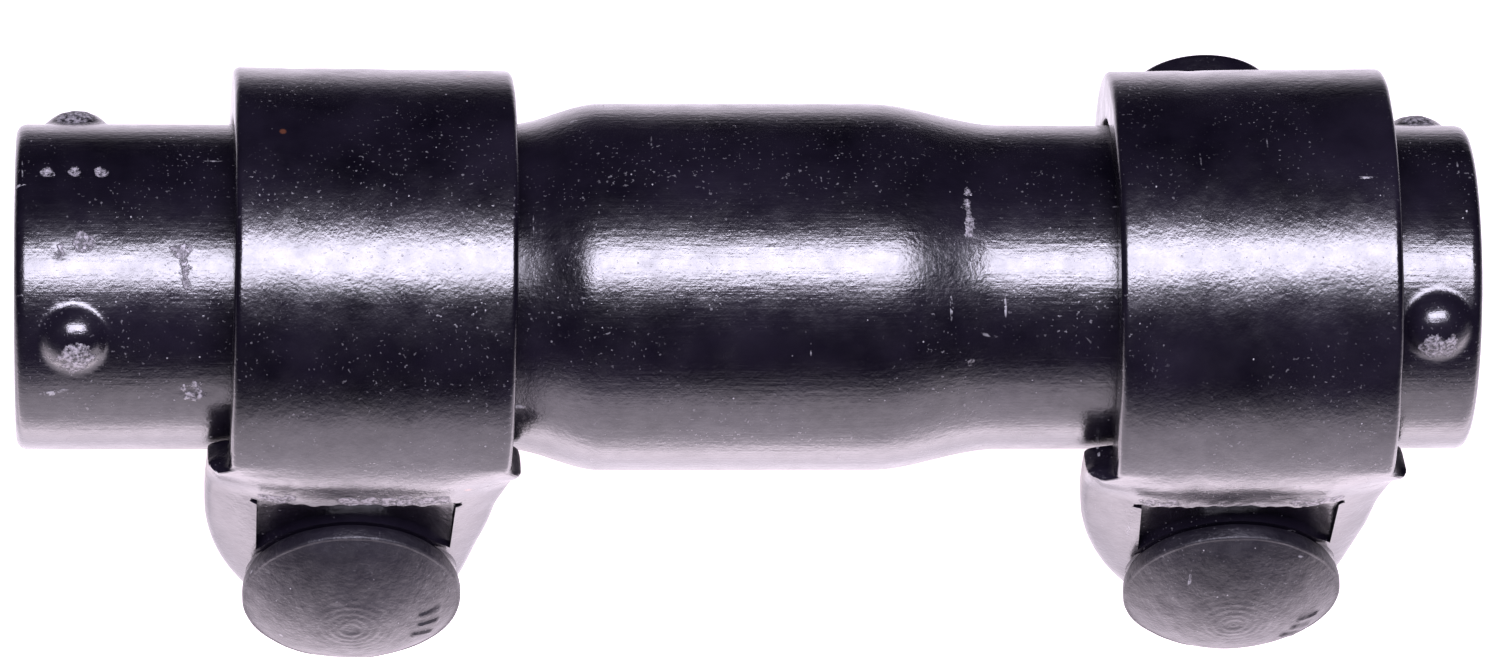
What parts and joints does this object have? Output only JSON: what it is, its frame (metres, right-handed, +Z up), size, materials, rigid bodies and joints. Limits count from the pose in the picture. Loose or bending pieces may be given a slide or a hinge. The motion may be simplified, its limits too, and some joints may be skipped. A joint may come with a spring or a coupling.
{
  "type": "threaded adjusting sleeve",
  "caption": "Steering rod adjusting sleeve: a swaged tube threaded inside, with a bolted U-shaped strap clamp sliding on each end.",
  "frame": {"origin": "centre of the whole assembly's box in X and Y, at its lowest point, where the straps' ears stand on a surface", "axes": "+X along the tube towards the right-hand end, -Y towards the bolt heads, +Z up from the ears to the band"},
  "size_m": [0.2264, 0.1026, 0.0909],
  "materials": {
    "sleeve_paint": "gloss black paint over ground steel tube",
    "strap_paint": "gloss black paint over formed steel",
    "bolt_paint": "semi-gloss black paint over forged head",
    "washer_paint": "gloss black paint",
    "nut_paint": "gloss black paint",
    "nylon": "black nylon"
  },
  "bodies": {
    "sleeve": {"sleeve_tube": "sleeve_paint"},
    "left_strap": {"left_clamp_strap": "strap_paint"},
    "left_bolt": {"left_clamp_bolt": "bolt_paint"},
    "left_washer": {"left_washer": "washer_paint"},
    "left_nut": {"left_lock_nut": "nut_paint", "left_nylon_ring": "nylon"},
    "right_strap": {"right_clamp_strap": "strap_paint"},
    "right_bolt": {"right_clamp_bolt": "bolt_paint"},
    "right_washer": {"right_washer": "washer_paint"},
    "right_nut": {"right_lock_nut": "nut_paint", "right_nylon_ring": "nylon"}
  },
  "joints": [
    {"name": "left_clamp_slide", "type": "slide", "parent": "sleeve", "child": "left_strap", "axis": [1, 0, 0], "range_m": [-0.02, 0.0018]},
    {"name": "left_bolt_slide", "type": "slide", "parent": "left_strap", "child": "left_bolt", "axis": [0.0007, -0.9997, 0.0262], "range_m": [0, 0.0015]},
    {"name": "left_washer_travel", "type": "slide", "parent": "left_bolt", "child": "left_washer", "axis": [-0.0007, 0.9997, -0.0262], "range_m": [-0.0046, 0.0061]},
    {"name": "left_nut_turn", "type": "hinge", "parent": "left_washer", "child": "left_nut", "pos_m": [-0.06106, -0.0115, 0.01966], "axis": [-0.0007, 0.9997, -0.0262], "range_deg": [-1080, 1440]},
    {"name": "right_clamp_slide", "type": "slide", "parent": "sleeve", "child": "right_strap", "axis": [1, 0, 0], "range_m": [-0.0185, 0.002]},
    {"name": "right_bolt_slide", "type": "slide", "parent": "right_strap", "child": "right_bolt", "axis": [0.0005, -0.9997, -0.0262], "range_m": [0, 0.0015]},
    {"name": "right_washer_travel", "type": "slide", "parent": "right_bolt", "child": "right_washer", "axis": [-0.0005, 0.9997, 0.0262], "range_m": [-0.0046, 0.0061]},
    {"name": "right_nut_turn", "type": "hinge", "parent": "right_washer", "child": "right_nut", "pos_m": [0.07794, -0.00957, 0.01959], "axis": [-0.0005, 0.9997, 0.0262], "range_deg": [-1080, 1440]}
  ],
  "couplings": [
    {"joint": "left_washer_travel", "follows": "left_nut_turn", "m_per_rad": 0.00023873},
    {"joint": "right_washer_travel", "follows": "right_nut_turn", "m_per_rad": 0.00023873}
  ]
}
